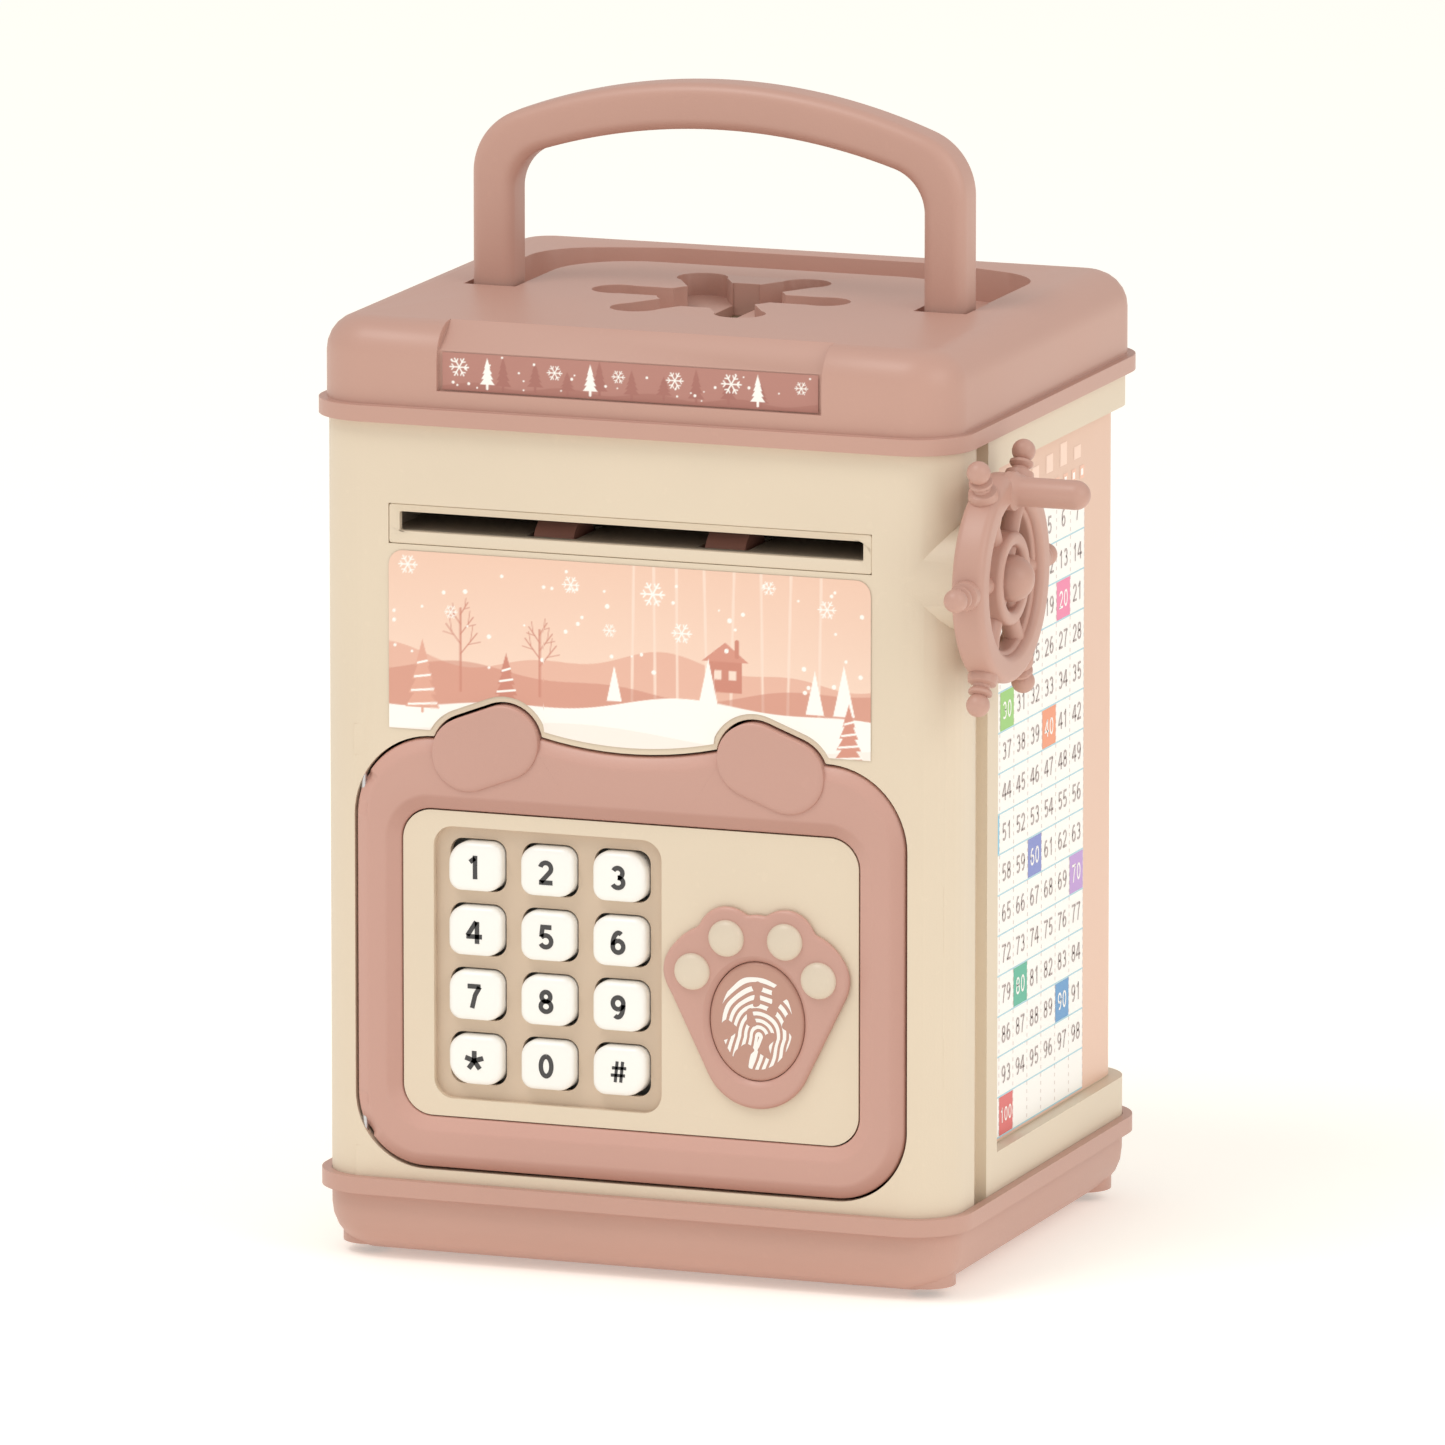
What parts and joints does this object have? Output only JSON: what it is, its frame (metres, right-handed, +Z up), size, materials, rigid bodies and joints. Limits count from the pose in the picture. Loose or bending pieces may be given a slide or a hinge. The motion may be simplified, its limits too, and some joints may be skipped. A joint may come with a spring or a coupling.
{
  "type": "toy safe coin bank",
  "caption": "Toy safe coin bank with a keypad door, a banknote slot with hand-cranked rollers, a coin slot in the lid and a folding carry handle.",
  "frame": {"origin": "under the middle of the body (without the wheel), at the height of the feet's undersides", "axes": "+X to the right as the door is faced, +Y to the back, +Z up"},
  "size_m": [0.1568, 0.1315, 0.2276],
  "materials": {
    "pink_plastic": "dusty pink moulded plastic, soft satin",
    "print_pad": "darker pink plastic with a raised white print",
    "cream_plastic": "cream moulded plastic, soft satin",
    "key_plastic": "white key caps with dark grey digits",
    "printed_sheet": "printed film, peach with white",
    "roller_plastic": "darker pink plastic",
    "roller_rubber": "dark grey rubber",
    "guide_plastic": "light grey plastic, unfinished",
    "steel": "plated steel",
    "battery_jacket": "plain green jacket",
    "speaker_cone": "black",
    "foot_rubber": "pink rubber",
    "mat_rubber": "grey silicone",
    "circuit_board": "green board",
    "coil_winding": "copper winding"
  },
  "bodies": {
    "case": {"base_tray": "pink_plastic", "feet": "foot_rubber", "battery_cover": "pink_plastic", "battery_screw": "steel", "batteries": "battery_jacket", "battery_contacts": "steel", "base_screws": "steel", "speaker": "speaker_cone", "front_shell": "cream_plastic", "back_shell": "cream_plastic", "chart_sticker": "printed_sheet", "picture_sticker": "printed_sheet", "top_lid": "pink_plastic", "name_plate": "printed_sheet", "lid_screws": "steel", "coin_chute": "cream_plastic", "handle_pins": "steel", "note_guide": "guide_plastic", "axle_bushing": "key_plastic", "hinge_pins": "steel", "lock_bracket": "steel", "lock_solenoid": "coil_winding"},
    "carry_handle": {"handle": "pink_plastic"},
    "crank": {"crank_axle": "steel", "drive_rollers": "roller_plastic", "ship_wheel": "pink_plastic"},
    "pressure_shaft": {"pressure_axle": "steel", "pressure_rollers": "roller_rubber"},
    "door": {"door_frame": "pink_plastic", "door_ears": "pink_plastic", "door_panel": "cream_plastic", "paw_plate": "pink_plastic", "toe_caps": "cream_plastic", "key_mat": "mat_rubber", "control_board": "circuit_board", "door_back": "cream_plastic", "door_screws": "steel", "strike_plate": "steel"},
    "print_button": {"fingerprint_button": "print_pad"},
    "bolt": {"lock_bolt": "steel"},
    "key_1_cap": {"key_1": "key_plastic"},
    "key_2_cap": {"key_2": "key_plastic"},
    "key_3_cap": {"key_3": "key_plastic"},
    "key_4_cap": {"key_4": "key_plastic"},
    "key_5_cap": {"key_5": "key_plastic"},
    "key_6_cap": {"key_6": "key_plastic"},
    "key_7_cap": {"key_7": "key_plastic"},
    "key_8_cap": {"key_8": "key_plastic"},
    "key_9_cap": {"key_9": "key_plastic"},
    "key_star_cap": {"key_star": "key_plastic"},
    "key_0_cap": {"key_0": "key_plastic"},
    "key_hash_cap": {"key_hash": "key_plastic"}
  },
  "joints": [
    {"name": "handle_fold", "type": "hinge", "parent": "case", "child": "carry_handle", "pos_m": [0, -0.0015, 0.1822], "axis": [-1, 0, 0], "range_deg": [0, 90]},
    {"name": "crank_turn", "type": "hinge", "parent": "case", "child": "crank", "pos_m": [0, -0.045, 0.1415], "axis": [-1, 0, 0], "continuous": true},
    {"name": "pressure_turn", "type": "hinge", "parent": "case", "child": "pressure_shaft", "pos_m": [0, -0.045, 0.1548], "axis": [-1, 0, 0], "continuous": true},
    {"name": "door_swing", "type": "hinge", "parent": "case", "child": "door", "pos_m": [-0.0552, -0.0552, 0.06], "axis": [0, 0, -1], "range_deg": [0, 90]},
    {"name": "print_press", "type": "slide", "parent": "door", "child": "print_button", "axis": [0, 1, 0], "range_m": [0, 0.001], "stiffness_N_per_m": 400},
    {"name": "bolt_slide", "type": "slide", "parent": "case", "child": "bolt", "axis": [0, 0, -1], "range_m": [0, 0.006]},
    {"name": "key_1_press", "type": "slide", "parent": "door", "child": "key_1_cap", "axis": [0, 1, 0], "range_m": [0, 0.0012], "stiffness_N_per_m": 400},
    {"name": "key_2_press", "type": "slide", "parent": "door", "child": "key_2_cap", "axis": [0, 1, 0], "range_m": [0, 0.0012], "stiffness_N_per_m": 400},
    {"name": "key_3_press", "type": "slide", "parent": "door", "child": "key_3_cap", "axis": [0, 1, 0], "range_m": [0, 0.0012], "stiffness_N_per_m": 400},
    {"name": "key_4_press", "type": "slide", "parent": "door", "child": "key_4_cap", "axis": [0, 1, 0], "range_m": [0, 0.0012], "stiffness_N_per_m": 400},
    {"name": "key_5_press", "type": "slide", "parent": "door", "child": "key_5_cap", "axis": [0, 1, 0], "range_m": [0, 0.0012], "stiffness_N_per_m": 400},
    {"name": "key_6_press", "type": "slide", "parent": "door", "child": "key_6_cap", "axis": [0, 1, 0], "range_m": [0, 0.0012], "stiffness_N_per_m": 400},
    {"name": "key_7_press", "type": "slide", "parent": "door", "child": "key_7_cap", "axis": [0, 1, 0], "range_m": [0, 0.0012], "stiffness_N_per_m": 400},
    {"name": "key_8_press", "type": "slide", "parent": "door", "child": "key_8_cap", "axis": [0, 1, 0], "range_m": [0, 0.0012], "stiffness_N_per_m": 400},
    {"name": "key_9_press", "type": "slide", "parent": "door", "child": "key_9_cap", "axis": [0, 1, 0], "range_m": [0, 0.0012], "stiffness_N_per_m": 400},
    {"name": "key_star_press", "type": "slide", "parent": "door", "child": "key_star_cap", "axis": [0, 1, 0], "range_m": [0, 0.0012], "stiffness_N_per_m": 400},
    {"name": "key_0_press", "type": "slide", "parent": "door", "child": "key_0_cap", "axis": [0, 1, 0], "range_m": [0, 0.0012], "stiffness_N_per_m": 400},
    {"name": "key_hash_press", "type": "slide", "parent": "door", "child": "key_hash_cap", "axis": [0, 1, 0], "range_m": [0, 0.0012], "stiffness_N_per_m": 400}
  ],
  "couplings": [
    {"joint": "pressure_turn", "follows": "crank_turn", "ratio": -1}
  ]
}
